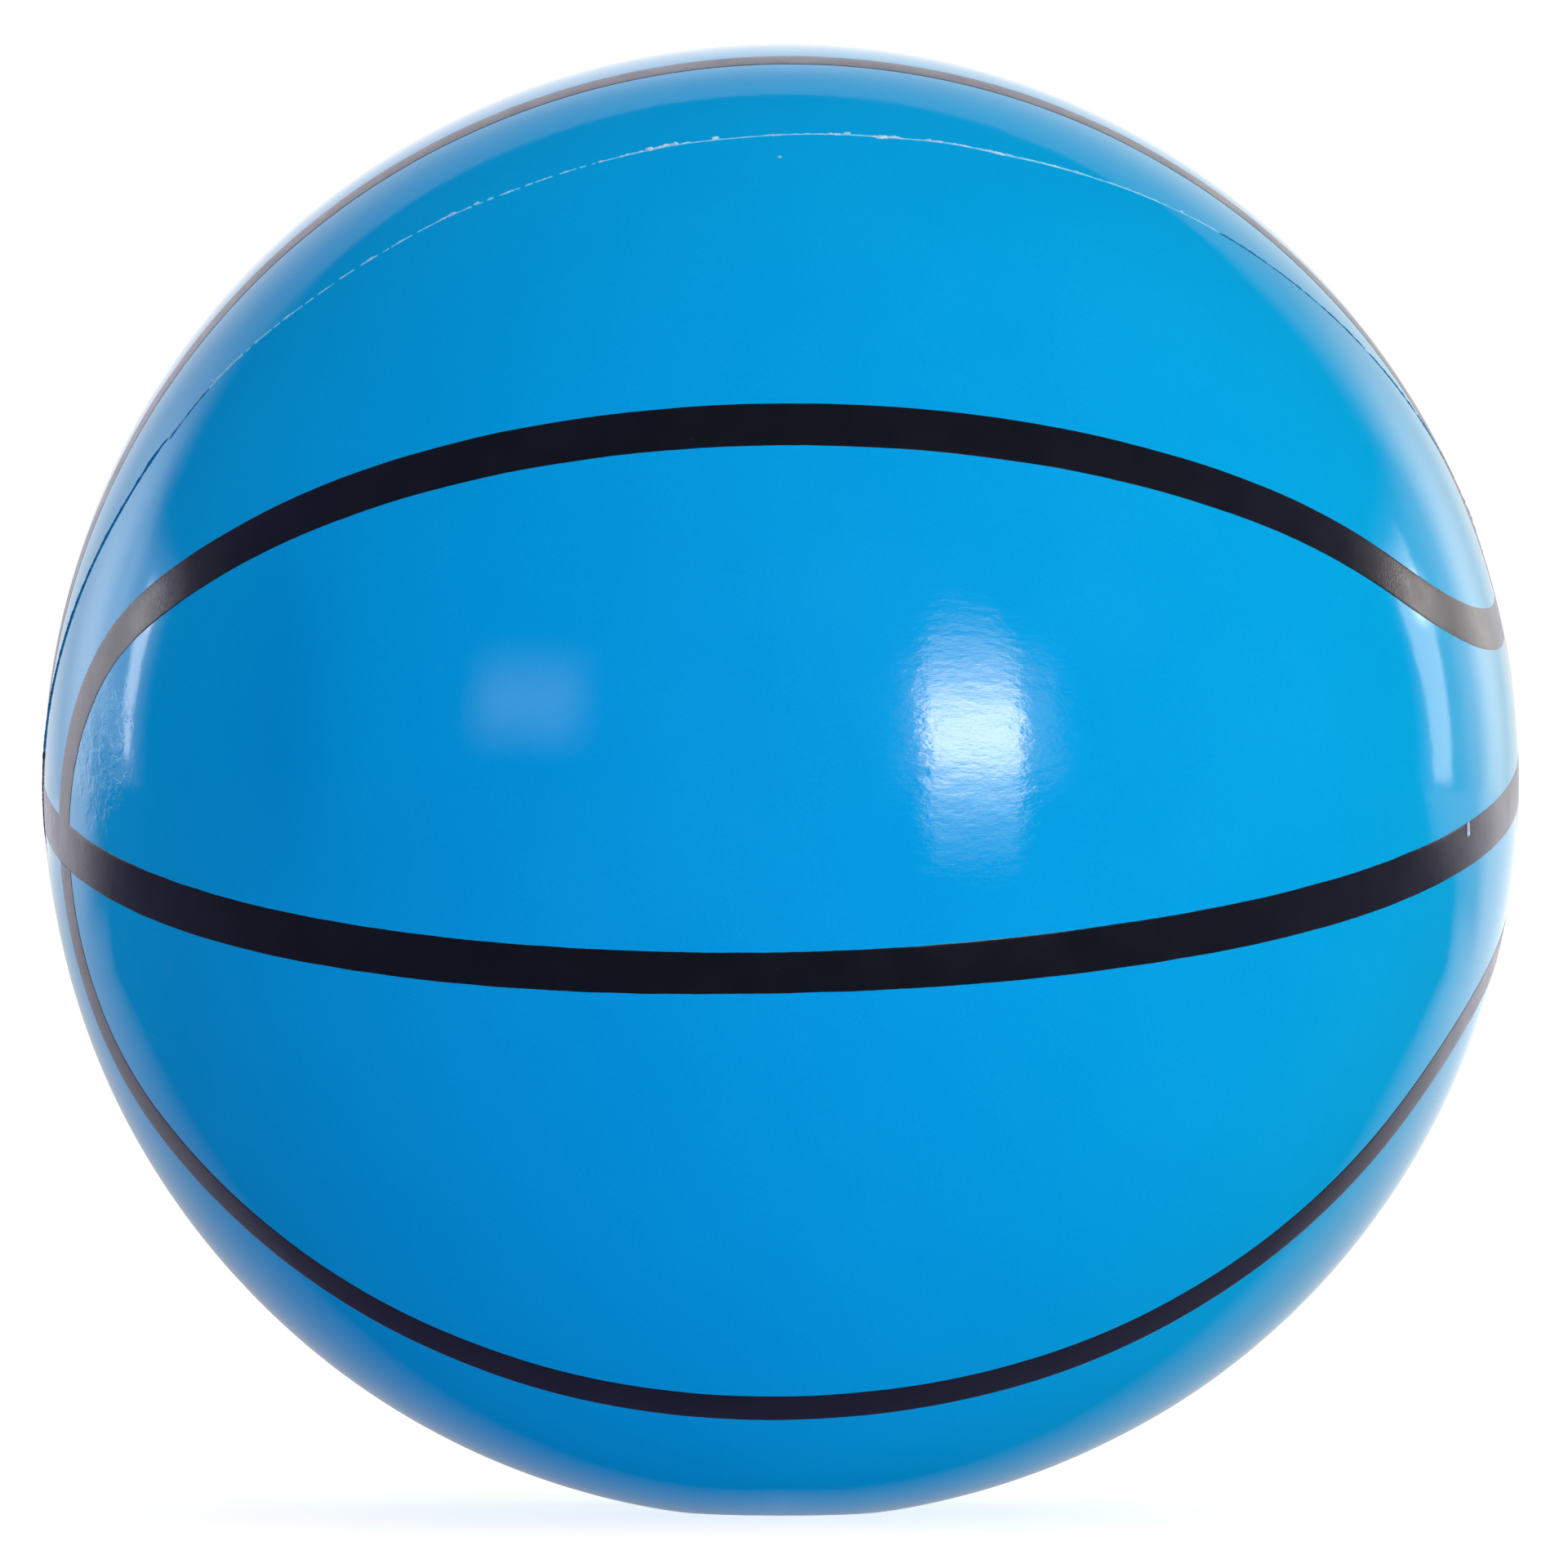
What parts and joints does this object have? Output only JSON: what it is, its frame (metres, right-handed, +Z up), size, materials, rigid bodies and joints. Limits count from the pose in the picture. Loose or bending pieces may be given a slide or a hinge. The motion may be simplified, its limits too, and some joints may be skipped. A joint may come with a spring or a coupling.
{
  "type": "toy ball",
  "caption": "Hollow inflated vinyl play ball with printed panel bands and a push-in valve plug.",
  "frame": {"origin": "on the surface that the ball stands on, at the middle of the small flat under it", "axes": "+Z up; -Y to the front, where the two long curved bands show; the valve is at the back, above the middle"},
  "size_m": [0.221, 0.2198, 0.2191],
  "materials": {
    "vinyl": "glossy",
    "ink": "satin",
    "plug": "satin"
  },
  "bodies": {
    "ball": {"ball_shell": "vinyl", "printed_bands": "ink"},
    "plug": {"valve_plug": "plug"}
  },
  "joints": [
    {"name": "plug_pull", "type": "slide", "parent": "ball", "child": "plug", "axis": [-0.1072, 0.8141, 0.5707], "range_m": [0, 0.02]}
  ]
}
